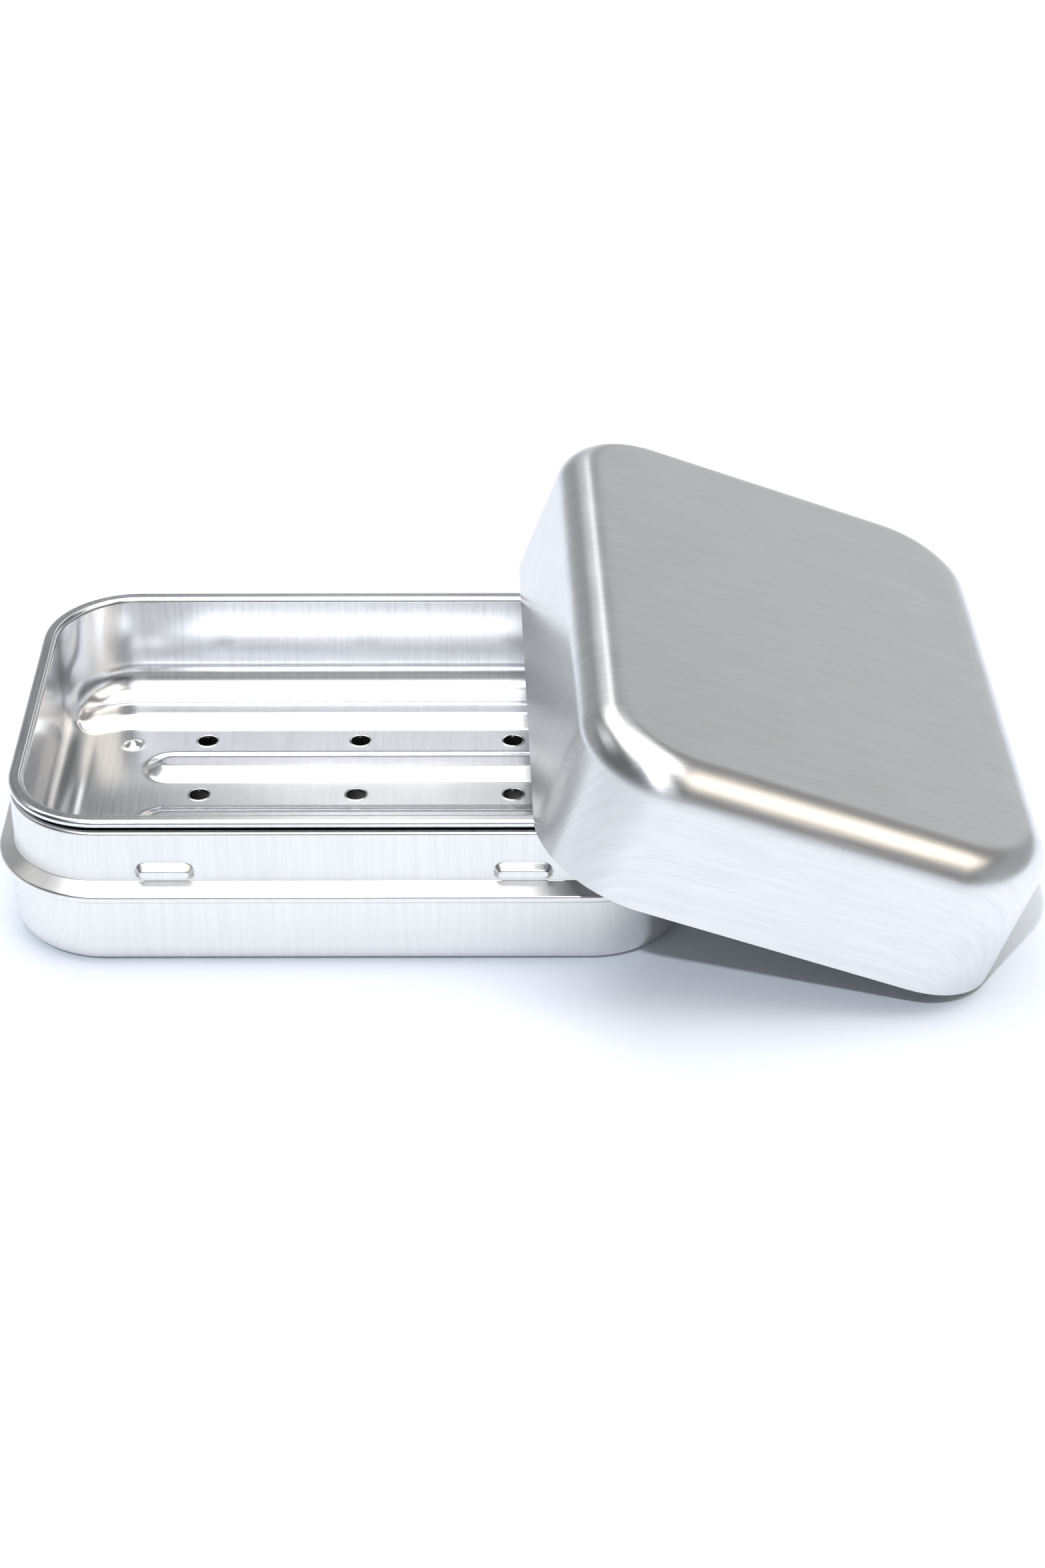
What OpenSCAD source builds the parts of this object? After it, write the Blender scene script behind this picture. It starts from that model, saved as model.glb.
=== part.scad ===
// Travel soap box pressed from aluminium sheet: a base tin, a drain tray that hangs in it, and a lid.
// The base stands on z = 0 with its long side along X. The lid is off: it leans over the right end,
// with one long edge on the surface and the other on the tray's rim.

/* [Sheet] */
// Thickness of the aluminium sheet
sheet_t = 0.4; // [0.3:0.05:0.6]

/* [Base tin] */
// Outer length of the lower wall
base_l = 97.2; // [85:0.1:115]
// Outer width of the lower wall
base_w = 66; // [56:0.1:80]
// Corner radius of the lower wall, seen from above
base_r = 14.2; // [12:0.1:18]
// Radius of the bottom edge
foot_r = 3.2; // [1.5:0.1:5]
// Height of the bead's underside
bead_z = 11.3; // [9:0.1:16]
// How far the bead stands out from the lower wall
bead_out = 1.5; // [0.8:0.1:2.5]
// Height of the bead's upright face
bead_h = 1.1; // [0.6:0.1:2]
// Rise of the sloping ledge from the bead to the neck
ledge_rise = 1.4; // [0.8:0.1:2]
// How far the neck is set in from the lower wall
neck_in = 0.75; // [0.5:0.05:1.5]
// Height of the neck from the ledge to the top edge
neck_h = 8.6; // [6:0.1:14]
// Diameter of the rolled top edge
curl_d = 1; // [0.9:0.1:1.4]

/* [Retaining pips] */
// Length of a pip along the wall
pip_l = 8.2; // [5:0.1:12]
// Height of a pip
pip_h = 2.5; // [1.6:0.1:3]
// How far a pip stands out from the neck
pip_out = 1.1; // [0.6:0.05:1.2]
// Distance of a pip from the middle of the long side
pip_x = 25; // [15:0.5:30]
// Gap between the ledge and a pip
pip_lift = 0.4; // [0.2:0.1:1]

/* [Drain tray] */
// Width of the tray's flattened hem
hem_w = 2.2; // [1.8:0.1:3]
// Height of the hem
hem_h = 1.2; // [1:0.1:1.6]
// How far the hem stands out past the neck
hem_over = 0.1; // [0:0.05:0.3]
// Gap between the hem and the base's top edge
hem_gap = 0.1; // [0.05:0.05:0.3]
// Depth from the top of the hem to the drain floor
tray_depth = 16.6; // [10:0.1:18]
// Radius between the tray's wall and its floor
tray_bend_r = 5; // [3:0.1:6]

/* [Drain holes and ribs] */
// Diameter of a drain hole
hole_d = 3; // [2:0.1:4]
// Number of holes in a row
hole_cols = 3; // [3:1:3]
// Number of rows of holes
hole_rows = 3; // [3:1:3]
// Spacing of the holes along a row
hole_dx = 23.5; // [20:0.1:26]
// Spacing of the rows
hole_dy = 15.1; // [14.8:0.1:15.4]
// Width of a raised rib
rib_w = 7.6; // [6:0.1:8.4]
// Height of a raised rib
rib_h = 0.9; // [0.6:0.05:1.4]
// Length of the two middle ribs, ends included
rib_l = 64.8; // [50:0.1:70]
// Length of the two outer ribs, ends included
rib_outer_l = 74; // [60:0.1:76]
// Diameter of a locating nub on the tray's floor
nub_d = 2.8; // [2:0.1:3.6]
// Height of a nub
nub_h = 0.6; // [0.4:0.1:1]
// Distance of a nub from the middle of the tray along X
nub_x = 35; // [33:0.1:37]
// Distance of a nub from the middle of the tray along Y
nub_y = 14; // [13.4:0.1:14.6]

/* [Lid] */
// How far the lid's wall stands out past the bead
lid_over = 0.1; // [-0.2:0.05:0.3]
// Corner radius of the lid, seen from above
lid_r = 15; // [12:0.1:18]
// Height of the lid
lid_h = 22.2; // [18:0.1:28]
// Radius of the lid's top edge
lid_edge_r = 5.6; // [3:0.1:8]

/* [Where the lid lies] */
// How far the lid's raised edge lies in from the base's right end
lid_lap = 24.7; // [15:0.1:35]
// How far the lid is pushed back from the middle
lid_back = 3.6; // [-8:0.1:8]
// Turn of the lid from square, seen from above
lid_turn = 1.6; // [-5:0.1:5]
// Gap between the lid's raised edge and the tray's hem
lid_rim_gap = 0.25; // [0.1:0.05:0.4]
// Gap between the lid's low edge and the surface
lid_floor_gap = 0.1; // [0.05:0.05:0.3]

/* [Hidden] */
$fn = 72;
eps = 0.01;

bead_l = base_l + 2 * bead_out;
bead_w = base_w + 2 * bead_out;
bead_lead = 0.3;
bead_top = bead_z + bead_lead + bead_h;
ledge_z = bead_top + ledge_rise;
neck_top = ledge_z + neck_h;
neck_w = base_w - 2 * neck_in;

hem_l = base_l - 2 * neck_in + 2 * hem_over;
hem_wd = neck_w + 2 * hem_over;
hem_r = base_r - neck_in + hem_over;
rim_top = neck_top + hem_gap + hem_h;
floor_z = rim_top - tray_depth;
well_in = hem_w + tray_bend_r;

pip_r = pip_h / 2;
pip_sink = pip_r - pip_out;
pip_z = ledge_z + pip_lift + pip_r;

rib_arc_r = (rib_w * rib_w / 4 + rib_h * rib_h) / (2 * rib_h);
nub_arc_r = (nub_d * nub_d / 4 + nub_h * nub_h) / (2 * nub_h);

lid_l = bead_l + 2 * lid_over;
lid_w = bead_w + 2 * lid_over;
lid_tilt = asin((rim_top + lid_rim_gap - lid_floor_gap) / (lid_w - sheet_t));
lid_z = lid_floor_gap + lid_w / 2 * sin(lid_tilt);
lid_x = bead_l / 2 - lid_lap + lid_w / 2 * cos(lid_tilt);

// A rectangle with round corners, centred, as a flat shape
module round_rect(l, w, r) {
    square([l - 2 * r, w], center = true);
    square([l, w - 2 * r], center = true);
    for (sx = [-1, 1], sy = [-1, 1]) translate([sx * (l / 2 - r), sy * (w / 2 - r)]) circle(r);
}

// Carries a section round a rectangle with round corners.
// The section's x is measured outwards from that outline and its y is the height.
module carry_round(l, w, r) {
    for (side = [0, 1]) rotate(180 * side) {
        translate([-(l / 2 - r), w / 2, 0]) rotate([90, 0, 90]) linear_extrude(l - 2 * r) children();
        translate([l / 2, w / 2 - r, 0]) rotate([90, 0, 0]) linear_extrude(w - 2 * r) children();
        translate([l / 2 - r, w / 2 - r, 0]) rotate_extrude(angle = 90) translate([r, 0]) children();
        translate([-(l / 2 - r), w / 2 - r, 0]) rotate(90) rotate_extrude(angle = 90) translate([r, 0]) children();
    }
}

// A quarter of a bent sheet as a flat shape: outer radius r, in the quadrant of the signs sx and sy
module bend(r, sx, sy) {
    intersection() {
        difference() {
            circle(r);
            circle(r - sheet_t);
        }
        translate([sx > 0 ? 0 : -r, sy > 0 ? 0 : -r]) square(r);
    }
}

// The section of the base tin's wall, from the bottom edge to the rolled top edge
module base_section() {
    translate([-foot_r, foot_r]) bend(foot_r, 1, -1);
    translate([-sheet_t, foot_r]) square([sheet_t, bead_z - foot_r]);
    polygon([
        [0, bead_z],
        [bead_out, bead_z + bead_lead],
        [bead_out, bead_top],
        [-neck_in, ledge_z],
        [-neck_in - sheet_t, ledge_z],
        [-neck_in - sheet_t, ledge_z - sheet_t],
        [bead_out - sheet_t, bead_top - sheet_t / 2],
        [bead_out - sheet_t, bead_z + bead_lead + sheet_t / 2],
        [-sheet_t, bead_z + sheet_t],
        [-sheet_t, bead_z],
    ]);
    translate([-neck_in - sheet_t, ledge_z]) square([sheet_t, neck_h - curl_d / 2]);
    translate([-neck_in - curl_d / 2, neck_top - curl_d / 2]) circle(d = curl_d);
}

// A rounded bar along X, from which the pips are pressed
module pip_bar(r) {
    half = pip_l / 2 - pip_r;
    rotate([0, 90, 0]) cylinder(h = 2 * half, r = r, center = true);
    for (s = [-1, 1]) translate([s * half, 0, 0]) sphere(r);
}

// Puts a pip's bar at each of the four places on the neck
module at_pips() {
    for (sx = [-1, 1], sy = [-1, 1])
        translate([sx * pip_x, sy * (neck_w / 2 - pip_sink), pip_z]) children();
}

module base_tin() color([0.86, 0.87, 0.89]) {
    difference() {
        union() {
            carry_round(base_l, base_w, base_r) base_section();
            linear_extrude(sheet_t) round_rect(base_l - 2 * foot_r, base_w - 2 * foot_r, base_r - foot_r);
            at_pips() pip_bar(pip_r);
        }
        at_pips() pip_bar(pip_r - sheet_t);
    }
}

// The section of the tray's wall: flattened hem, straight wall and the bend into the floor
module tray_section() {
    translate([-hem_w + hem_h / 2, rim_top - hem_h]) square([hem_w - hem_h, hem_h]);
    for (x = [-hem_w + hem_h / 2, -hem_h / 2]) translate([x, rim_top - hem_h / 2]) circle(d = hem_h);
    translate([-hem_w, floor_z + tray_bend_r]) square([sheet_t, tray_depth - tray_bend_r - hem_h / 2]);
    translate([-well_in, floor_z + tray_bend_r]) bend(tray_bend_r + sheet_t, 1, -1);
}

// Half the section of a pressed arch, for a rib or a nub: outer arc radius ar, height h, width w
module arch_half(ar, w, h) {
    intersection() {
        translate([0, h - ar]) difference() {
            circle(ar);
            circle(ar - sheet_t);
        }
        translate([0, -sheet_t]) square([w / 2, h + sheet_t]);
    }
}

// A raised rib of length l along X, with round ends
module rib(l) {
    run = l - rib_w;
    for (s = [0, 1]) rotate(180 * s) {
        translate([-run / 2, 0, 0]) rotate([90, 0, 90]) linear_extrude(run) arch_half(rib_arc_r, rib_w, rib_h);
        translate([run / 2, 0, 0]) rotate(-90) rotate_extrude(angle = 180) arch_half(rib_arc_r, rib_w, rib_h);
    }
}

// The flat outline of a rib
module rib_outline(l) {
    square([l - rib_w, rib_w], center = true);
    for (s = [-1, 1]) translate([s * (l - rib_w) / 2, 0]) circle(d = rib_w);
}

// Calls its child once for each rib: the middle ribs lie half a row from the middle, the outer ones 1.5 rows
module at_ribs(row) {
    for (s = [-1, 1]) translate([0, s * row * hole_dy, 0]) children();
}

module at_holes() {
    for (i = [0:hole_cols - 1], j = [0:hole_rows - 1])
        translate([(i - (hole_cols - 1) / 2) * hole_dx, (j - (hole_rows - 1) / 2) * hole_dy]) children();
}

module at_nubs() {
    for (sx = [-1, 1], sy = [-1, 1]) translate([sx * nub_x, sy * nub_y]) children();
}

module drain_tray() color([0.80, 0.81, 0.84]) {
    carry_round(hem_l, hem_wd, hem_r) tray_section();
    translate([0, 0, floor_z - sheet_t]) linear_extrude(sheet_t) difference() {
        round_rect(hem_l - 2 * well_in, hem_wd - 2 * well_in, hem_r - well_in);
        at_ribs(0.5) rib_outline(rib_l);
        at_ribs(1.5) rib_outline(rib_outer_l);
        at_holes() circle(d = hole_d);
        at_nubs() circle(d = nub_d);
    }
    translate([0, 0, floor_z]) {
        at_ribs(0.5) rib(rib_l);
        at_ribs(1.5) rib(rib_outer_l);
        at_nubs() rotate_extrude() arch_half(nub_arc_r, nub_d, nub_h);
    }
}

// The section of the lid's wall, with z = 0 at the rim
module lid_section() {
    translate([-sheet_t, 0]) square([sheet_t, lid_h - lid_edge_r]);
    translate([-lid_edge_r, lid_h - lid_edge_r]) bend(lid_edge_r, 1, 1);
}

module lid() color([0.72, 0.74, 0.75]) {
    translate([lid_x, lid_back, lid_z]) rotate([lid_tilt, 0, 90 + lid_turn]) {
        carry_round(lid_l, lid_w, lid_r) lid_section();
        translate([0, 0, lid_h - sheet_t]) linear_extrude(sheet_t)
            round_rect(lid_l - 2 * lid_edge_r, lid_w - 2 * lid_edge_r, lid_r - lid_edge_r);
    }
}

base_tin();
drain_tray();
lid();
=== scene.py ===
"""Looks of the travel soap box: three pressed aluminium pieces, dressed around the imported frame."""

import logging
import math
from collections.abc import Callable
from dataclasses import dataclass, field
from enum import Enum
from functools import cached_property

import bpy
import numpy as np
from mathutils import Matrix, Vector


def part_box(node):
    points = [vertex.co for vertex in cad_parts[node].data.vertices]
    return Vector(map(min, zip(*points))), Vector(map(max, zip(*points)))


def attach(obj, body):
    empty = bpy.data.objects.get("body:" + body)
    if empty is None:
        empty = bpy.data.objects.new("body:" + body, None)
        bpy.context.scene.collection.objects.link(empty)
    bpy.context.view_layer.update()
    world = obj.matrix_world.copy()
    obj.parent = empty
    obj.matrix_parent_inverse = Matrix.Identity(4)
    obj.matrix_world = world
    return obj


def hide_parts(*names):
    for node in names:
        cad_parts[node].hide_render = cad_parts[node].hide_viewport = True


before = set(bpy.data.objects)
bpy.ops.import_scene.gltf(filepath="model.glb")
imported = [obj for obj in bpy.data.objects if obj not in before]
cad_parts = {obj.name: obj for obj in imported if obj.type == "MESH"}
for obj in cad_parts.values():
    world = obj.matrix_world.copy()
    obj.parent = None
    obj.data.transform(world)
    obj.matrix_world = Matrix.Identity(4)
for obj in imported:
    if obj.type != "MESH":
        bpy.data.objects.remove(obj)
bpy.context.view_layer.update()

log = logging.getLogger("soap_box")

Object = bpy.types.Object
Material = bpy.types.Material
Tree = bpy.types.NodeTree
Socket = bpy.types.NodeSocket
Colour = tuple[float, float, float, float]
Relief = Callable[[np.ndarray], np.ndarray]

MM = 0.001
PHOTO_SIZE = (1568, 2352)
SHEET_UV = "sheet"

# An edge that turns by more than this is shaded as sharp
SHARP_ANGLE = math.radians(38)

# Millimetres from a straight run's end to the point close to it, at most a quarter of the run
BEND_GUARD = 0.08

# Millimetres within which two points of a section are one, and the slack in counting stations
SAME_POINT = 1e-4
COUNT_SLACK = 1e-6

# Millimetres from a hole's edge to each ring of points round it
HOLE_RINGS = (0.62, 0.4, 0.27, 0.18, 0.12, 0.07, 0.03, 0.0)

# The power that joins a rib to the bend of the wall; a higher one joins them less softly
JOIN_POWER = 4


class Grain(Enum):
    """How the sheet was brushed: its lines' size across and along the grain, in millimetres."""

    FINE = (0.3, 12.0)
    SATIN = (0.4, 8.0)


def srgb(hex_colour: str) -> Colour:
    """Turns an sRGB hex colour into linear RGBA.

    Args:
        hex_colour: Six hex digits, with or without a leading hash.

    Returns:
        The linear red, green and blue, and an alpha of 1.
    """
    digits = hex_colour.lstrip("#")
    channels = [int(digits[i : i + 2], 16) / 255 for i in (0, 2, 4)]
    linear = [c / 12.92 if c <= 0.04045 else ((c + 0.055) / 1.055) ** 2.4 for c in channels]
    return (*linear, 1.0)


def add_object(name: str, data: bpy.types.ID) -> Object:
    """Adds an object to the scene and returns it; its data are a mesh, a lamp or a camera."""
    obj = bpy.data.objects.new(name, data)
    bpy.context.scene.collection.objects.link(obj)
    return obj


# Sections of bent sheet


@dataclass(frozen=True)
class Corner:
    """One corner of a bent sheet's middle line.

    Args:
        out: Distance outwards from the piece's reference outline, in millimetres.
        z: Height in millimetres.
        bend: Radius of the bend there, in millimetres.
        steps: Number of steps round the bend.
        spacing: Largest distance between points on the straight run that leads here, in millimetres.
    """

    out: float
    z: float
    bend: float = 0.0
    steps: int = 6
    spacing: float = 2.5


def bend_arc(before: np.ndarray, here: np.ndarray, after: np.ndarray, corner: Corner) -> np.ndarray:
    """Works out the points of one circular bend.

    A bend of radius r between two directions that turn by angle a starts and ends r * tan(a / 2)
    from the corner, and its points lie on the arc about the centre on the inner side.

    Args:
        before: The place of the corner before it, (out, z).
        here: The place of its own corner.
        after: The place of the corner after it.
        corner: Its radius and number of steps.

    Returns:
        The points, (steps + 1, 2), which are all the same where the radius is 0.
    """
    into = (here - before) / np.linalg.norm(here - before)
    onto = (after - here) / np.linalg.norm(after - here)
    turn = math.atan2(into[0] * onto[1] - into[1] * onto[0], float(into @ onto))
    start = here - into * corner.bend * math.tan(abs(turn) / 2)
    centre = start + math.copysign(corner.bend, turn) * np.array([-into[1], into[0]])
    angle = turn * np.linspace(0, 1, corner.steps + 1)[:, None]
    spoke = start - centre
    across = np.array([-spoke[1], spoke[0]])
    return centre + np.cos(angle) * spoke + np.sin(angle) * across


def bent_line(corners: list[Corner]) -> np.ndarray:
    """Works out the middle line of a bent sheet: straight runs joined by circular bends.

    A straight run has a point close to each of its ends, which keeps a bend's shading on the bend.

    Args:
        corners: The corners in order, the first and last being the ends.

    Returns:
        An array of (out, z) points in millimetres.
    """
    points = np.array([(corner.out, corner.z) for corner in corners])
    triples = zip(points, points[1:], points[2:], corners[1:])
    arcs = [points[:1], *(bend_arc(*triple) for triple in triples), points[-1:]]
    line = [arcs[0]]
    for before, arc, corner in zip(arcs, arcs[1:], corners[1:]):
        start, end = before[-1], arc[0]
        length = float(np.linalg.norm(end - start))
        if length > SAME_POINT:
            guard = min(BEND_GUARD, length / 4)
            inner = spaced([guard, length - guard], [corner.spacing])
            line.append(start + (end - start) * (inner / length)[:, None])
        line.append(arc)
    joined = np.concatenate(line)
    apart = np.linalg.norm(np.diff(joined, axis=0), axis=1) > SAME_POINT
    return joined[np.concatenate([[True], apart])]


def spaced(breaks: list[float], spacings: list[float]) -> np.ndarray:
    """Fills the intervals between rising break points with evenly spaced stations.

    Args:
        breaks: The break points, which are all stations.
        spacings: The largest distance between stations in each interval.

    Returns:
        The stations, rising.
    """
    stations = [np.array(breaks[:1], dtype=float)]
    for low, high, spacing in zip(breaks, breaks[1:], spacings):
        count = max(1, math.ceil((high - low) / spacing - COUNT_SLACK))
        stations.append(low + (high - low) * np.arange(1, count + 1) / count)
    return np.concatenate(stations)


def mirrored(stations: np.ndarray) -> np.ndarray:
    """Adds the mirror image of stations that start at 0."""
    return np.concatenate([-stations[:0:-1], stations])


def line_normals(line: np.ndarray) -> np.ndarray:
    """Gives the unit normals to the left of a line, midway between the runs on either side of a point."""
    run = np.diff(line, axis=0)
    run = run / np.linalg.norm(run, axis=1, keepdims=True)
    along = np.concatenate([run[:1], run[:-1] + run[1:], run[-1:]])
    normal = np.stack([-along[:, 1], along[:, 0]], axis=1)
    return normal / np.linalg.norm(normal, axis=1, keepdims=True)


# The pressed sheet as a mesh


@dataclass
class Plan:
    """The outline that a section is carried round: a rectangle with round corners.

    Args:
        corner: Corner radius in millimetres.
        xs: Stations along the straight part of the long sides, in millimetres, rising.
        ys: Stations along the straight part of the short sides, in millimetres, rising.
        corner_steps: Number of steps round each corner.
    """

    corner: float
    xs: np.ndarray
    ys: np.ndarray
    corner_steps: int

    @cached_property
    def core(self) -> np.ndarray:
        """The stations of the flat core, (ys, xs, 2)."""
        return np.stack(np.meshgrid(self.xs, self.ys), axis=-1)

    def columns(self) -> tuple[np.ndarray, np.ndarray, np.ndarray]:
        """Walks round the outline anticlockwise.

        A point of the outline is its root on the inner rectangle plus the radius times its direction.

        Returns:
            The roots, the directions, and each column's index in the core grid, which counts X first.
        """
        steps = self.corner_steps
        index = np.arange(len(self.xs) * len(self.ys)).reshape(len(self.ys), len(self.xs))
        sides = [index[:, -1], index[-1, ::-1], index[::-1, 0], index[0, :]]
        core, turn = [], []
        for ids, angle in zip(sides, (0.0, 90.0, 180.0, 270.0)):
            core += [ids, np.full(steps - 1, ids[-1])]
            turn += [np.full(len(ids), angle), angle + 90 * np.arange(1, steps) / steps]
        core_index = np.concatenate(core)
        radians = np.radians(np.concatenate(turn))
        ways = np.stack([np.cos(radians), np.sin(radians)], axis=1)
        return self.core.reshape(-1, 2)[core_index], ways, core_index


@dataclass
class MeshData:
    """Collects vertices, faces and sheet coordinates as arrays, and makes the mesh from them."""

    points: list[np.ndarray] = field(default_factory=list)
    sheet: list[np.ndarray] = field(default_factory=list)
    faces: list[np.ndarray] = field(default_factory=list)
    count: int = 0

    def add_points(self, points: np.ndarray, sheet: np.ndarray) -> np.ndarray:
        """Adds vertices, (n, 3), with their places on the flat sheet, (n, 2), and returns their indices."""
        ids = np.arange(self.count, self.count + len(points))
        self.points.append(points)
        self.sheet.append(sheet)
        self.count += len(points)
        return ids

    def add_faces(self, faces: np.ndarray) -> None:
        """Adds quads of vertex indices, (n, 4), in which two equal neighbours make a triangle."""
        self.faces.append(faces)

    def add_band(self, low: np.ndarray, high: np.ndarray) -> None:
        """Joins two closed rings of vertices of equal length by a band of quads."""
        self.add_faces(np.stack([low, high, np.roll(high, -1), np.roll(low, -1)], axis=1))

    def build(self, name: str, place: Matrix) -> Object:
        """Makes the object, with its place in its mesh and the sheet coordinates as a UV map.

        Args:
            name: The object's name.
            place: Where the piece lies, applied to its vertices, with lengths in metres.

        Returns:
            The new object, at the origin.
        """
        points = np.concatenate(self.points) * MM
        sheet = np.concatenate(self.sheet)
        quads = np.concatenate(self.faces)
        turn = np.array(place.to_3x3())
        points = points @ turn.T + np.array(place.translation)
        keep = quads != np.roll(quads, 1, axis=1)
        corners = keep.sum(axis=1)
        quads, keep, corners = quads[corners >= 3], keep[corners >= 3], corners[corners >= 3]
        loops = quads[keep]
        starts = np.concatenate([[0], np.cumsum(corners)[:-1]])
        mesh = bpy.data.meshes.new(name)
        mesh.vertices.add(len(points))
        mesh.vertices.foreach_set("co", points.ravel())
        mesh.loops.add(len(loops))
        mesh.loops.foreach_set("vertex_index", loops.astype(np.int32))
        mesh.polygons.add(len(corners))
        mesh.polygons.foreach_set("loop_start", starts.astype(np.int32))
        mesh.update(calc_edges=True)
        layer = mesh.uv_layers.new(name=SHEET_UV)
        layer.data.foreach_set("uv", sheet[loops].astype(np.float32).ravel())
        mesh.validate()
        mesh.polygons.foreach_set("use_smooth", np.ones(len(mesh.polygons), dtype=bool))
        mesh.set_sharp_from_angle(angle=SHARP_ANGLE)
        return add_object(name, mesh)


def around(grid: np.ndarray) -> np.ndarray:
    """Gives the entries round the edge of a grid, anticlockwise from the lower right."""
    return np.concatenate([grid[:-1, -1], grid[-1, :0:-1], grid[:0:-1, 0], grid[0, :-1]])


@dataclass
class PressedSheet:
    """A piece pressed from one sheet: a flat core, a section carried round it, and holes in the core.

    Args:
        plan: The outline that the section is carried round.
        section: The sheet's middle line from the core outwards, as (out, z), in millimetres.
        sheet: The sheet's thickness in millimetres.
        lift: Extra height at (x, y) points, for ribs and dimples.
        bulge: Extra distance outwards at (x, y, z) points, for pips.
        holes: Hole centres, which lie in cells of the core's stations.
        hole_r: Hole radius in millimetres.
        cell: Half the side of the square cell that holds a hole.
    """

    plan: Plan
    section: np.ndarray
    sheet: float
    lift: Relief | None = None
    bulge: Relief | None = None
    holes: tuple[tuple[float, float], ...] = ()
    hole_r: float = 0.0
    cell: float = 0.0

    def side_rows(self, side: float) -> tuple[np.ndarray, np.ndarray]:
        """Works out the rows of one face of the sheet.

        A point is its root, plus the outline's direction times (corner radius + out), at height z,
        where (out, z) is the middle line moved by half the thickness along its normal.

        Args:
            side: 1 for the face to the left of the section, -1 for the other.

        Returns:
            The points (rows, columns, 3) and their flat places on the sheet (rows, columns, 2).
        """
        roots, ways, _ = self.plan.columns()
        skin = self.section + line_normals(self.section) * side * self.sheet / 2
        reach = self.plan.corner + skin[1:, 0]
        flat = np.cumsum(np.linalg.norm(np.diff(self.section, axis=0), axis=1))
        xy = roots[None] + reach[:, None, None] * ways[None]
        z = np.broadcast_to(skin[1:, 1][:, None], xy.shape[:2])
        points = np.concatenate([xy, z[..., None]], axis=2)
        points[..., 2] = self.raised(points[..., :2], points[..., 2], side)
        if self.bulge is not None:
            points[..., :2] += self.bulge(points)[..., None] * ways[None]
        if side < 0:
            flat = flat * (1 + self.sheet / flat[-1])
        return points, roots[None] + flat[:, None, None] * ways[None]

    def core_z(self, side: float) -> float:
        """Gives the height of one face of the core without the relief."""
        return self.section[0, 1] + side * self.sheet / 2

    def raised(self, xy: np.ndarray, z: np.ndarray, side: float) -> np.ndarray:
        """Raises heights to the relief where that is higher, with a rounded join.

        Both heights are measured from the core's face. The result is the root of the sum of their
        powers, so a rib runs smoothly into the bend of the wall.

        Args:
            xy: The points' places, (..., 2), in millimetres.
            z: Their heights without the relief, in millimetres.
            side: 1 for the upper face, -1 for the lower.

        Returns:
            The heights with the relief.
        """
        if self.lift is None:
            return z
        floor = self.core_z(side)
        own = np.maximum(z - floor, 0.0)
        return floor + (own**JOIN_POWER + self.lift(xy) ** JOIN_POWER) ** (1 / JOIN_POWER)

    def core_points(self, side: float) -> np.ndarray:
        """Works out the points of one face of the flat core, (ys, xs, 3)."""
        xy = self.plan.core
        z = self.raised(xy, np.full(xy.shape[:2], self.core_z(side)), side)
        return np.concatenate([xy, z[..., None]], axis=-1)

    def hole_cells(self, x: float, y: float) -> tuple[slice, slice]:
        """Finds the stations that bound the cell of a hole at (x, y), as slices of columns and rows."""
        xs, ys = self.plan.xs, self.plan.ys
        left, right = (int(np.argmin(np.abs(xs - (x + s * self.cell)))) for s in (-1, 1))
        low, high = (int(np.argmin(np.abs(ys - (y + s * self.cell)))) for s in (-1, 1))
        return slice(left, right), slice(low, high)

    def add_hole(self, data: MeshData, ids: np.ndarray, x: float, y: float, side: float) -> np.ndarray:
        """Fills a hole's cell with rings that go from the square to the circle.

        A ring's points lie between the square's point and the circle's point in the same direction.

        Args:
            data: The mesh to add to.
            ids: The core's vertex indices, (ys, xs).
            x: The hole's centre along X.
            y: The hole's centre along Y.
            side: 1 for the upper face, -1 for the lower.

        Returns:
            The innermost ring's vertex indices.
        """
        cols, rows = self.hole_cells(x, y)
        block = (slice(rows.start, rows.stop + 1), slice(cols.start, cols.stop + 1))
        centre = np.array([x, y])
        edge = around(self.plan.core[block]) - centre
        angle = np.arctan2(edge[:, 1], edge[:, 0])
        way = np.stack([np.cos(angle), np.sin(angle)], axis=1)
        outer = around(ids[block])
        for radius in self.hole_r + np.array(HOLE_RINGS):
            share = (radius - self.hole_r) / (self.cell - self.hole_r)
            near = way * radius
            far = way * self.hole_r + (edge - way * self.hole_r) * share
            xy = centre + near * (1 - share) + far * share
            z = self.raised(xy, np.full(len(xy), self.core_z(side)), side)
            ring = data.add_points(np.column_stack([xy, z]), xy)
            band = np.stack([outer, np.roll(outer, -1), np.roll(ring, -1), ring], axis=1)
            data.add_faces(band if side > 0 else band[:, ::-1])
            outer = ring
        return outer

    def add_core(self, data: MeshData, side: float) -> tuple[np.ndarray, list[np.ndarray]]:
        """Adds one face of the flat core, with its holes.

        Args:
            data: The mesh to add to.
            side: 1 for the upper face, -1 for the lower.

        Returns:
            The core's vertex indices, (ys, xs), and each hole's innermost ring.
        """
        points = self.core_points(side)
        shape = points.shape[:2]
        ids = data.add_points(points.reshape(-1, 3), points[..., :2].reshape(-1, 2)).reshape(shape)
        keep = np.ones((shape[0] - 1, shape[1] - 1), dtype=bool)
        for x, y in self.holes:
            cols, rows = self.hole_cells(x, y)
            keep[rows, cols] = False
        quads = np.stack([ids[:-1, :-1], ids[:-1, 1:], ids[1:, 1:], ids[1:, :-1]], axis=-1)[keep]
        data.add_faces(quads if side > 0 else quads[:, ::-1])
        return ids, [self.add_hole(data, ids, x, y, side) for x, y in self.holes]

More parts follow.
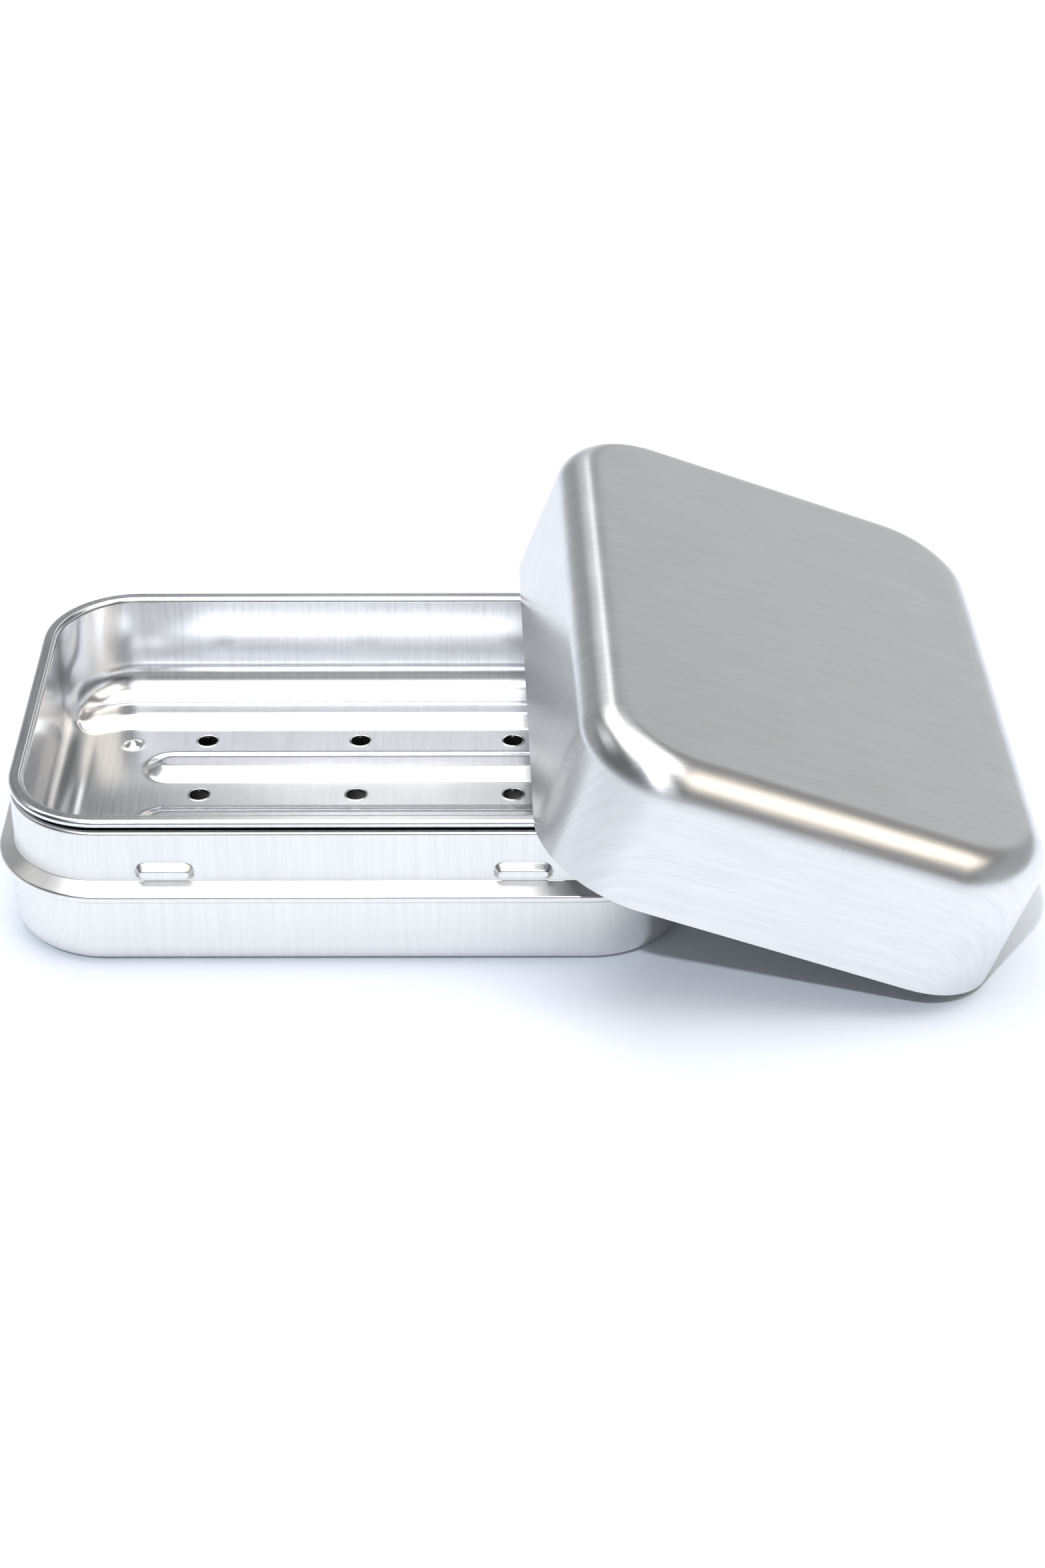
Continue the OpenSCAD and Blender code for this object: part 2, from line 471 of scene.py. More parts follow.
    def build(self, name: str, place: Matrix) -> Object:
        """Makes the closed shell: both faces of the sheet, the cut edge and the holes' walls.

        Args:
            name: The object's name.
            place: Where the piece lies.

        Returns:
            The new object.
        """
        data = MeshData()
        upper, upper_rings = self.add_core(data, 1)
        lower, lower_rings = self.add_core(data, -1)
        _, _, core_index = self.plan.columns()
        rings = [upper.ravel()[core_index]]
        for side, order in ((1, slice(None)), (-1, slice(None, None, -1))):
            points, flat = self.side_rows(side)
            for row, spot in zip(points[order], flat[order]):
                rings.append(data.add_points(row, spot))
        rings.append(lower.ravel()[core_index])
        for low, high in zip(rings, rings[1:]):
            data.add_band(low, high)
        for top, bottom in zip(upper_rings, lower_rings):
            data.add_faces(np.stack([top, np.roll(top, -1), np.roll(bottom, -1), bottom], axis=1))
        return data.build(name, place)


def ramp(distance: np.ndarray, width: float, blend: float) -> np.ndarray:
    """Rises from 0 to 1 over a width, straight, with a parabola of half length blend at either end."""

    def rounded(x: np.ndarray) -> np.ndarray:
        """Zero below -blend, x above blend, and a parabola between."""
        return np.where(x > blend, x, np.clip(x + blend, 0, None) ** 2 / (4 * blend))

    return (rounded(distance) - rounded(distance - width)) / width


# Finishes

# The range that most of a noise's values lie in, and that of the sum of two noises
NOISE_RANGE = (0.3, 0.7)
NOISE_SUM_RANGE = (0.75, 1.25)

# How many times as wide and long as the brush lines the bands of tone are
BAND_RATIO = 3

# Width of the step that makes a yes or a no of a cell's chance
CHOICE_STEP = 0.001


def add_node(tree: Tree, kind: str, inputs: dict | None = None, **settings) -> bpy.types.Node:
    """Adds a node with its settings and links.

    Args:
        tree: The node tree.
        kind: The node's type name.
        inputs: Input names or numbers, each with a value or an output socket to link from.
        **settings: Properties of the node.

    Returns:
        The new node.
    """
    node = tree.nodes.new(kind)
    for name, value in settings.items():
        setattr(node, name, value)
    for key, value in (inputs or {}).items():
        if isinstance(value, Socket):
            tree.links.new(value, node.inputs[key])
        else:
            node.inputs[key].default_value = value
    return node


def new_material(name: str) -> tuple[Material, Tree]:
    """Makes an empty node material and returns it with its tree."""
    material = bpy.data.materials.new(name)
    material.use_nodes = True
    material.node_tree.nodes.clear()
    return material, material.node_tree


def combined(tree: Tree, operation: str, first: Socket | float, second: Socket | float) -> Socket:
    """Adds a math node on two values and returns its result."""
    return add_node(tree, "ShaderNodeMath", {0: first, 1: second}, operation=operation).outputs[0]


def mixed(tree: Tree, share: Socket, first: Socket | Colour, second: Socket | Colour) -> Socket:
    """Mixes two colours, where the share is the second's, and returns the result."""
    inputs = {"Factor": share, 6: first, 7: second}
    return add_node(tree, "ShaderNodeMix", inputs, data_type="RGBA").outputs[2]


def noise(tree: Tree, source: Socket, scale: tuple[float, float, float], detail: float) -> Socket:
    """Adds noise on scaled coordinates, with a number of finer layers, and returns its value."""
    mapping = add_node(tree, "ShaderNodeMapping", {"Vector": source, "Scale": scale})
    inputs = {"Vector": mapping.outputs["Vector"], "Scale": 1.0, "Detail": detail}
    return add_node(tree, "ShaderNodeTexNoise", inputs).outputs[0]


def remap(
    tree: Tree, value: Socket, source: tuple[float, float], target: tuple[float, float], soft: bool = False
) -> Socket:
    """Maps a range of values to another, with its ends as limits, and returns the result."""
    inputs = {"Value": value, 1: source[0], 2: source[1], 3: target[0], 4: target[1]}
    form = "SMOOTHSTEP" if soft else "LINEAR"
    return add_node(tree, "ShaderNodeMapRange", inputs, clamp=True, interpolation_type=form).outputs[0]


@dataclass(frozen=True)
class BrushedAluminium:
    """Bare aluminium sheet, belt-brushed before it was pressed, with no lacquer.

    The brushing leaves fine parallel lines, so reflections smear across them and stay crisp along
    them. Pressing leaves cloudy patches, and handling leaves a few small pitted specks. Lengths are
    in millimetres.

    Args:
        name: The material's name.
        bright: Colour of the brightest lines.
        dull: Colour of the dullest lines.
        grain: The lines' size.
        roughness: Mean roughness.
        streak: How far the roughness of a line can be from the mean.
        anisotropy: How much more a reflection smears across the lines than along them.
        patch_size: Size of the cloudy patches.
        patch: How far a patch can change the roughness.
        speck_cells: Cells per millimetre of the pattern that the specks lie in.
        speck_share: Share of the cells that hold a speck.
        speck_edge: Where a speck's edge starts and ends, as distances from its middle in cells.
        speck_colour: Colour of a speck.
        speck_tint: Share of that colour in a speck.
        pit_strength: Strength of a speck's pit, as a bump.
        pit_depth: Its depth.
    """

    name: str
    bright: str = "#EDF0F1"
    dull: str = "#EAEDEE"
    grain: Grain = Grain.SATIN
    roughness: float = 0.30
    streak: float = 0.008
    anisotropy: float = 0.75
    patch_size: float = 9.0
    patch: float = 0.015
    speck_cells: float = 0.35
    speck_share: float = 0.04
    speck_edge: tuple[float, float] = (0.03, 0.06)
    speck_colour: str = "#8C8E90"
    speck_tint: float = 0.5
    pit_strength: float = 0.4
    pit_depth: float = 0.05

    def material(self) -> Material:
        """Builds the material, with lines of noise that is stretched along the grain of the flat sheet."""
        material, tree = new_material(self.name)
        across, along = self.grain.value
        sheet = add_node(tree, "ShaderNodeUVMap", uv_map=SHEET_UV).outputs["UV"]
        lines = noise(tree, sheet, (1 / across, 1 / along, 1), detail=0.0)
        spot = self.spot(tree, sheet)
        pit = {"Height": spot, "Strength": self.pit_strength, "Distance": self.pit_depth * MM}
        tangent = add_node(tree, "ShaderNodeTangent", direction_type="UV_MAP", uv_map=SHEET_UV)
        shader = add_node(
            tree,
            "ShaderNodeBsdfPrincipled",
            {
                "Base Color": self.tone(tree, sheet, lines, spot),
                "Metallic": 1.0,
                "Roughness": self.rough(tree, lines),
                "Anisotropic": self.anisotropy,
                "Tangent": tangent.outputs["Tangent"],
                "Normal": add_node(tree, "ShaderNodeBump", pit).outputs["Normal"],
            },
        )
        add_node(tree, "ShaderNodeOutputMaterial", {"Surface": shader.outputs["BSDF"]})
        return material

    def spot(self, tree: Tree, sheet: Socket) -> Socket:
        """Gives 1 on specks, the round middles of cells that chance has chosen, and 0 off them."""
        pattern = {"Vector": sheet, "Scale": self.speck_cells}
        cells = add_node(tree, "ShaderNodeTexVoronoi", pattern, feature="F1")
        middle = remap(tree, cells.outputs["Distance"], self.speck_edge, (1.0, 0.0))
        chance = add_node(tree, "ShaderNodeSeparateColor", {"Color": cells.outputs["Color"]}).outputs["Red"]
        limit = 1 - self.speck_share
        chosen = remap(tree, chance, (limit, limit + CHOICE_STEP), (0.0, 1.0))
        return combined(tree, "MULTIPLY", middle, chosen)

    def tone(self, tree: Tree, sheet: Socket, lines: Socket, spot: Socket) -> Socket:
        """Works out the colour: brighter and duller lines, in broader bands, under the specks."""
        across, along = (BAND_RATIO * length for length in self.grain.value)
        bands = noise(tree, sheet, (1 / across, 1 / along, 1), detail=1.0)
        share = remap(tree, combined(tree, "ADD", lines, bands), NOISE_SUM_RANGE, (0.0, 1.0))
        metal = mixed(tree, share, srgb(self.dull), srgb(self.bright))
        tint = combined(tree, "MULTIPLY", spot, self.speck_tint)
        return mixed(tree, tint, metal, srgb(self.speck_colour))

    def rough(self, tree: Tree, lines: Socket) -> Socket:
        """Works out the roughness, which changes from line to line and from patch to patch."""
        limits = (self.roughness - self.streak, self.roughness + self.streak)
        own = remap(tree, lines, NOISE_RANGE, limits)
        place = add_node(tree, "ShaderNodeTexCoord").outputs["Object"]
        patches = noise(tree, place, (1 / (self.patch_size * MM),) * 3, detail=2.0)
        return combined(tree, "ADD", own, remap(tree, patches, NOISE_RANGE, (-self.patch, self.patch)))


def dress(piece: Object, finish: BrushedAluminium, body: str, node: str) -> Object:
    """Gives a piece its finish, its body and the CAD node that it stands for.

    Args:
        piece: The piece's object.
        finish: Its finish.
        body: The CAD body that it rides on.
        node: The CAD node that it replaces.

    Returns:
        The piece.
    """
    piece.data.materials.append(finish.material())
    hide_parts(node)
    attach(piece, body)
    return piece


# The three pieces


def box_sides(box: tuple) -> tuple[float, float]:
    """Gives the length and width in millimetres of a box, which is its low and high corner in metres."""
    low, high = box
    return (high[0] - low[0]) / MM, (high[1] - low[1]) / MM


@dataclass
class BaseTin:
    """The base tin: flat bottom, low wall, bead, neck with four pips and a curled top edge.

    Lengths are in millimetres and angles in degrees. The plan is the outline of the lower wall, and
    a bend is a radius. The bead comes out over bead_rise, and curl_z is the height of the curl's
    centre. A pip's edge slopes over pip_flank, with roundings of half length pip_blend. The sheet is
    finely divided over pip_margin beside a pip and over pip_band above the ledge. A long side's
    sheet lies less than side_band inside the outline.
    """

    sheet: float = 0.4
    corner: float = 14.2
    foot_bend: float = 3.0
    bead_out: float = 1.5
    bead_low: float = 11.5
    bead_rise: float = 0.3
    bead_high: float = 12.6
    bead_bend: float = 0.35
    ledge_bend: float = 0.3
    ledge_top: float = 14.0
    neck_bend: float = 0.4
    neck_in: float = 0.95
    curl_r: float = 0.3
    curl_z: float = 21.6
    curl_turn: float = 240.0
    pip_x: float = 25.0
    pip_z: float = 15.75
    pip_length: float = 8.2
    pip_height: float = 2.5
    pip_out: float = 1.1
    pip_flank: float = 0.6
    pip_blend: float = 0.12
    pip_margin: float = 0.4
    pip_band: float = 3.6
    side_band: float = 2.0
    finish: BrushedAluminium = BrushedAluminium(
        "brushed_aluminium_base", "#ECEBE9", "#E6E5E3", Grain.FINE, roughness=0.36, anisotropy=0.5
    )

    @cached_property
    def size(self) -> tuple[float, float]:
        """Length and width of the outline, which are the CAD node's without the bead."""
        length, width = box_sides(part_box("base_tin"))
        return length - 2 * self.bead_out, width - 2 * self.bead_out

    def section(self) -> np.ndarray:
        """Works out the sheet's middle line, (n, 2), from the bottom's core to the end of the curl."""
        half = self.sheet / 2
        bead = self.bead_out - half
        wall = bent_line(
            [
                Corner(-self.corner, half),
                Corner(-half, half, self.foot_bend, steps=12, spacing=4.0),
                Corner(-half, self.bead_low, self.bead_bend, steps=5),
                Corner(bead, self.bead_low + self.bead_rise, self.bead_bend, spacing=0.6),
                Corner(bead, self.bead_high, self.ledge_bend, steps=5, spacing=0.5),
                Corner(-self.neck_in, self.ledge_top, self.neck_bend, steps=5, spacing=1.0),
                Corner(-self.neck_in, self.ledge_top + self.pip_band, spacing=0.16),
                Corner(-self.neck_in, self.curl_z, spacing=2.0),
            ]
        )
        angle = np.radians(np.linspace(0, self.curl_turn, 17)[1:])
        centre = np.array([-self.neck_in - self.curl_r, self.curl_z])
        curl = centre + self.curl_r * np.stack([np.cos(angle), np.sin(angle)], axis=1)
        return np.concatenate([wall, curl])

    def pips(self, points: np.ndarray) -> np.ndarray:
        """Works out how far the pips push the neck outwards.

        A pip is a bar with round ends: its height follows the distance inwards from its outline.

        Args:
            points: Places on the sheet, (..., 3).

        Returns:
            The distance outwards at each.
        """
        run = (self.pip_length - self.pip_height) / 2
        past = np.maximum(np.abs(np.abs(points[..., 0]) - self.pip_x) - run, 0)
        inwards = self.pip_height / 2 - np.hypot(past, points[..., 2] - self.pip_z)
        on_long_side = np.abs(points[..., 1]) > self.size[1] / 2 - self.side_band
        return np.where(on_long_side, self.pip_out * ramp(inwards, self.pip_flank, self.pip_blend), 0.0)

    def build(self) -> Object:
        """Makes the base tin, dresses it and lets it stand for its CAD node."""
        reach = self.pip_length / 2 + self.pip_margin
        straight_x, straight_y = (side / 2 - self.corner for side in self.size)
        xs = spaced([0, self.pip_x - reach, self.pip_x + reach, straight_x], [5.0, 0.22, 2.5])
        ys = spaced([0, straight_y], [5.0])
        plan = Plan(self.corner, mirrored(xs), mirrored(ys), corner_steps=26)
        pressed = PressedSheet(plan, self.section(), self.sheet, bulge=self.pips)
        piece = pressed.build("base_tin_pressed", Matrix())
        return dress(piece, self.finish, "base", "base_tin")


@dataclass
class DrainTray:
    """The drain tray: a pan hung on its flattened hem, with four ribs, four nubs and nine holes.

    Lengths are in millimetres. The plan is the outline of the hem, and a bend is a radius. The folded
    sheet under the hem ends hem_end inside the outline. The sheet is finely divided over cell_margin
    round a hole, rib_margin beside a rib and rib_cap at the end of a middle rib. The burr is highest
    burr_out outside a hole's edge and fades over burr_width. An edge of a rib slopes over rib_flank,
    with roundings of half length rib_blend. The middle ribs are straight over rib_half from the
    middle. The outer ones bow inwards in an arc of radius outer_rib_bow, at most over bow_share of it.
    """

    sheet: float = 0.4
    corner: float = 13.55
    hem_width: float = 2.2
    hem_height: float = 1.2
    hem_bend: float = 0.5
    fold_bend: float = 0.4
    hem_end: float = 1.5
    depth: float = 16.6
    floor_bend: float = 5.2
    hole_r: float = 1.5
    hole_dx: float = 23.5
    hole_dy: float = 15.1
    cell_margin: float = 0.9
    burr: float = 0.08
    burr_out: float = 0.07
    burr_width: float = 0.09
    rib_width: float = 8.3
    rib_flank: float = 2.6
    rib_blend: float = 0.4
    rib_height: float = 1.2
    rib_half: float = 28.3
    rib_margin: float = 0.3
    rib_cap: float = 4.2
    outer_rib_bow: float = 20.0
    bow_share: float = 0.8
    nub_x: float = 34.9
    nub_y: float = 14.0
    nub_r: float = 1.7
    nub_height: float = 0.9
    finish: BrushedAluminium = BrushedAluminium(
        "brushed_aluminium_tray", "#EEEFF1", "#E8E9EB", Grain.FINE, roughness=0.22, anisotropy=0.5
    )

    @cached_property
    def straight(self) -> tuple[float, float]:
        """Half the lengths of the straight parts of the hem's sides, along X and Y."""
        length, width = box_sides(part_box("drain_tray"))
        return length / 2 - self.corner, width / 2 - self.corner

    def section(self, rim: float) -> np.ndarray:
        """Works out the sheet's middle line, (n, 2), from the floor's core to the hem, whose top is rim."""
        half = self.sheet / 2
        floor = rim - self.depth - half
        top, under = rim - half, rim - self.hem_height + half
        wall = half - self.hem_width
        return bent_line(
            [
                Corner(-self.corner, floor),
                Corner(wall, floor, self.floor_bend, steps=20, spacing=0.3),
                Corner(wall, top, self.hem_bend, spacing=2.0),
                Corner(-half, top, self.fold_bend, spacing=1.0),
                Corner(-half, under, self.fold_bend, spacing=1.0),
                Corner(-self.hem_end, under, spacing=1.0),
            ]
        )

    def relief(self, xy: np.ndarray) -> np.ndarray:
        """Works out the height of the ribs, nubs and hole burrs above the floor.

        A rib's height follows the distance inwards from its outline. The outer ribs run on to the
        corners and bow inwards there along an arc.

        Args:
            xy: Places on the floor, (..., 2).

        Returns:
            The height at each.
        """
        x, y = np.abs(xy[..., 0]), np.abs(xy[..., 1])
        row = self.hole_dy / 2
        middle = np.hypot(np.maximum(x - self.rib_half, 0), y - row)
        past = np.clip(x - self.straight[0], 0, self.outer_rib_bow * self.bow_share)
        bow = self.outer_rib_bow - np.sqrt(self.outer_rib_bow**2 - past**2)
        outer = np.abs(y - (3 * row - bow))
        inwards = self.rib_width / 2 - np.minimum(middle, outer)
        ribs = ramp(inwards, self.rib_flank, self.rib_blend) * self.rib_height
        nub = np.hypot(x - self.nub_x, y - self.nub_y) / self.nub_r
        nubs = self.nub_height * (0.5 + 0.5 * np.cos(np.pi * np.clip(nub, 0, 1)))
        pitch = np.array([self.hole_dx, self.hole_dy])
        off_hole = xy - pitch * np.clip(np.round(xy / pitch), -1, 1)
        edge = (np.hypot(off_hole[..., 0], off_hole[..., 1]) - self.hole_r - self.burr_out) / self.burr_width
        return np.maximum(ribs, nubs) + self.burr * np.exp(-(edge**2))

    def build(self) -> Object:
        """Makes the tray, dresses it and lets it stand for its CAD node."""
        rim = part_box("drain_tray")[1][2] / MM
        straight_x, straight_y = self.straight
        cell = self.hole_r + self.cell_margin
        fine = cell / 6
        row, half_rib = self.hole_dy / 2, self.rib_width / 2 + self.rib_margin
        rib_end = self.rib_half + self.rib_width / 2
        before, after = rib_end - self.rib_cap, rib_end + self.rib_margin
        xs = spaced(
            [0, cell, self.hole_dx - cell, self.hole_dx + cell, before, after, straight_x],
            [fine, 3.5, fine, 1.5, 0.36, 0.5],
        )
        ys = spaced(
            [0, cell, row - half_rib, row + half_rib, self.hole_dy - cell, self.hole_dy + cell, straight_y],
            [fine, 0.6, 0.3, 0.6, fine, 0.3],
        )
        plan = Plan(self.corner, mirrored(xs), mirrored(ys), corner_steps=20)
        holes = tuple((i * self.hole_dx, j * self.hole_dy) for i in (-1, 0, 1) for j in (-1, 0, 1))
        pressed = PressedSheet(
            plan, self.section(rim), self.sheet, lift=self.relief, holes=holes, hole_r=self.hole_r, cell=cell
        )
        piece = pressed.build("drain_tray_pressed", Matrix())
        return dress(piece, self.finish, "tray", "drain_tray")


@dataclass
class Lid:
    """The lid: a plain deep-drawn cover with a wide bend round its top and a cut rim.

    Lengths are in millimetres and angles in degrees. It leans with one long edge on the surface and
    the other on the tray's rim, as in the CAD model. It reaches over the base's right end by lap, its
    middle lies behind the base's by back, and it is turned by turn on top of a quarter turn. The
    gaps are from the middle of its edges to the tray's rim and to the surface.
    """

    sheet: float = 0.4
    length: float = 100.4
    width: float = 69.2
    corner: float = 15.0
    height: float = 22.2
    edge_bend: float = 5.4
    lap: float = 24.7
    back: float = 3.6
    turn: float = 1.6
    rim_gap: float = 0.25
    floor_gap: float = 0.1
    finish: BrushedAluminium = BrushedAluminium("brushed_aluminium_lid", "#EAEAEA", "#E3E3E3")

    def place(self) -> Matrix:
        """Works out where the lid lies, in metres, from the tray's rim and the base's right end."""
        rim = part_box("drain_tray")[1][2] / MM
        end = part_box("base_tin")[1][0] / MM
        tilt = math.asin((rim + self.rim_gap - self.floor_gap) / (self.width - self.sheet))
        x = end - self.lap + self.width / 2 * math.cos(tilt)
        z = self.floor_gap + self.width / 2 * math.sin(tilt)
        move = Matrix.Translation(Vector((x, self.back, z)) * MM)
        return move @ Matrix.Rotation(math.radians(90 + self.turn), 4, "Z") @ Matrix.Rotation(tilt, 4, "X")

    def section(self) -> np.ndarray:
        """Works out the sheet's middle line, (n, 2), from the top's core to the rim."""
        half = self.sheet / 2
        return bent_line(
            [
                Corner(-self.corner, self.height - half),
                Corner(-half, self.height - half, self.edge_bend, steps=26, spacing=4.0),
                Corner(-half, 0, spacing=3.0),
            ]
        )

    def build(self) -> Object:
        """Makes the lid, dresses it and lets it stand for its CAD node."""
        xs, ys = (mirrored(spaced([0, side / 2 - self.corner], [6.0])) for side in (self.length, self.width))
        plan = Plan(self.corner, xs, ys, corner_steps=40)
        piece = PressedSheet(plan, self.section(), self.sheet).build("lid_pressed", self.place())
        return dress(piece, self.finish, "lid", "lid")


# The studio


@dataclass(frozen=True)
class SoftLamp:
    """A softbox that faces the object.

    Args:
        width: Width in millimetres.
        height: Height in millimetres.
        strength: Power in watts per square metre of its face, divided by pi.
        azimuth: Its direction from the object in degrees, from +Y towards +X.
        elevation: Its height angle in degrees.
        distance: Its distance in millimetres.
        colour: Its colour.
    """

    width: float
    height: float
    strength: float
    azimuth: float
    elevation: float
    distance: float
    colour: str = "#FFFFFF"


@dataclass
class Studio:
    """The camera, the floor and the light.

    The camera's place, tilt and focal length were worked out from the photograph's own points, and
    its picture is PHOTO_SIZE pixels. Lengths are in millimetres and angles in degrees, and azimuths
    go from +Y towards +X. The camera's yaw is to the right, its roll to the left, and its axis meets
    the picture at centre_px from the upper left. The floor's colour is floor_gain times as bright
    where it is seen. The key lamp alone would make a white floor key_share of white. The wall's grey
    fades into wall_upper between the heights of wall_line, and its dark stretch is fully dark within
    dark_core of its middle and ends at dark_edge.
    """

    eye: tuple[float, float, float] = (24.697, -380.756, 255.797)
    pitch: float = 32.225
    yaw: float = -0.069
    roll: float = -0.136
    focal_px: float = 4553.3
    centre_px: tuple[float, float] = (777.13, 1120.18)
    sensor: float = 36.0
    view_end: float = 100000.0
    floor_size: float = 8000.0
    floor_colour: str = "#ECF1F8"
    floor_gain: float = 1.08
    key_share: float = 0.3
    key_azimuth: float = 194.0
    key_elevation: float = 49.0
    key_angle: float = 1.8
    key_distance: float = 2000.0
    key_colour: str = "#F0F4FF"
    soft_lamps: tuple[tuple[str, SoftLamp], ...] = (
        ("overhead", SoftLamp(1700, 1700, 1.35, 0, 84, 1700)),
        ("back_box", SoftLamp(560, 420, 2.1, 335, 56, 1150)),
        ("low_back_box", SoftLamp(150, 250, 1.5, 357, 38, 1150)),
        ("back_right_card", SoftLamp(640, 560, 0.32, 30, 18, 1150)),
        ("left_strip", SoftLamp(300, 400, 1.5, 282, 44, 1150)),
        ("right_strip", SoftLamp(800, 460, 2.0, 116, 46, 1150, "#FFF4E4")),
        ("front_box", SoftLamp(440, 620, 1.3, 182, 48, 1150)),
        ("front_right_box", SoftLamp(400, 300, 0.3, 145, 32, 1150)),
        ("front_card", SoftLamp(440, 500, 0.4, 180, 20, 1150)),
    )
    wall_radius: float = 1200.0
    wall_height: float = 2250.0
    wall_sides: int = 96
    wall_grey: str = "#A4A7A9"
    wall_upper: str = "#686A6C"
    wall_line: tuple[float, float] = (540.0, 700.0)
    wall_dark: str = "#3A3C3E"
    dark_azimuth: float = 200.0
    dark_edge: float = 85.0
    dark_core: float = 55.0

    def add_camera(self) -> None:
        """Adds the camera at the photograph's viewing angle."""
        width, height = PHOTO_SIZE
        camera = bpy.data.cameras.new("camera")
        camera.sensor_width = self.sensor
        camera.lens = self.focal_px * self.sensor / height
        camera.shift_x = (width / 2 - self.centre_px[0]) / height
        camera.shift_y = (self.centre_px[1] - height / 2) / height
        camera.clip_end = self.view_end * MM
        turn = (
            Matrix.Rotation(math.radians(-self.yaw), 4, "Z")
            @ Matrix.Rotation(math.radians(90 - self.pitch), 4, "X")
            @ Matrix.Rotation(math.radians(self.roll), 4, "Z")
        )
        obj = add_object("camera", camera)
        obj.matrix_world = Matrix.Translation(Vector(self.eye) * MM) @ turn
        bpy.context.scene.camera = obj

    def add_card(self, name: str, points: list, faces: list, material: Material) -> Object:
        """Adds a surface, in metres, that belongs to the studio and not to the model, and returns it."""
        mesh = bpy.data.meshes.new(name)
        mesh.from_pydata(points, [], faces)
        mesh.materials.append(material)
        card = add_object(name, mesh)
        return card

    def seen(self, tree: Tree) -> Socket:
        """Gives 1 on camera, glossy and transmission rays, which see the background, and 0 on others."""
        path = add_node(tree, "ShaderNodeLightPath").outputs
        either = combined(tree, "MAXIMUM", path["Is Camera Ray"], path["Is Glossy Ray"])
        return combined(tree, "MAXIMUM", either, path["Is Transmission Ray"])

    def add_floor(self) -> None:
        """Adds the pale floor, whose colour is raised where it is seen, so that it keeps its shadows."""
        half = self.floor_size / 2 * MM
        corners = [(-half, -half, 0), (half, -half, 0), (half, half, 0), (-half, half, 0)]
        material, tree = new_material("floor_card")
        plain = srgb(self.floor_colour)
        lifted = (*(channel * self.floor_gain for channel in plain[:3]), 1.0)
        tone = mixed(tree, self.seen(tree), plain, lifted)
        matte = add_node(tree, "ShaderNodeBsdfDiffuse", {"Color": tone})
        add_node(tree, "ShaderNodeOutputMaterial", {"Surface": matte.outputs[0]})
        self.add_card("studio_floor", corners, [(0, 1, 2, 3)], material)

    def wall_paint(self) -> Material:
        """Makes the wall's glowing paint, dark where the angle from dark_azimuth has a cosine near 1."""
        material, tree = new_material("studio_wall_paint")
        place = add_node(tree, "ShaderNodeTexCoord").outputs["Object"]
        around_z = math.radians(self.dark_azimuth)
        radius = self.wall_radius * MM
        way = (math.sin(around_z) / radius, math.cos(around_z) / radius, 0.0)
        cosine = add_node(tree, "ShaderNodeVectorMath", {0: place, 1: way}, operation="DOT_PRODUCT")
        limits = tuple(math.cos(math.radians(angle)) for angle in (self.dark_edge, self.dark_core))
        dark = remap(tree, cosine.outputs["Value"], limits, (0.0, 1.0), soft=True)
        height = add_node(tree, "ShaderNodeSeparateXYZ", {"Vector": place}).outputs["Z"]
        fade = tuple(line * MM for line in self.wall_line)
        upper = remap(tree, height, fade, (0.0, 1.0), soft=True)
        grey = mixed(tree, upper, srgb(self.wall_grey), srgb(self.wall_upper))
        tone = mixed(tree, dark, grey, srgb(self.wall_dark))
        glow = add_node(tree, "ShaderNodeEmission", {"Color": tone})
        add_node(tree, "ShaderNodeOutputMaterial", {"Surface": glow.outputs[0]})
        return material

    def add_wall(self) -> None:
        """Adds a round studio wall, which the metal reflects and the camera doesn't see."""
        radius, height = self.wall_radius * MM, self.wall_height * MM
        angle = np.linspace(0, 2 * np.pi, self.wall_sides + 1)[:-1]
        low = np.stack([radius * np.cos(angle), radius * np.sin(angle), np.zeros(self.wall_sides)], axis=1)
        points = np.concatenate([low, low + [0, 0, height]])
        ids = np.arange(self.wall_sides)
        after = np.roll(ids, -1)
        faces = np.stack([ids, ids + self.wall_sides, after + self.wall_sides, after], axis=1)
        wall = self.add_card("studio_wall", points.tolist(), faces.tolist(), self.wall_paint())
        wall.visible_camera = False
        wall.visible_shadow = False

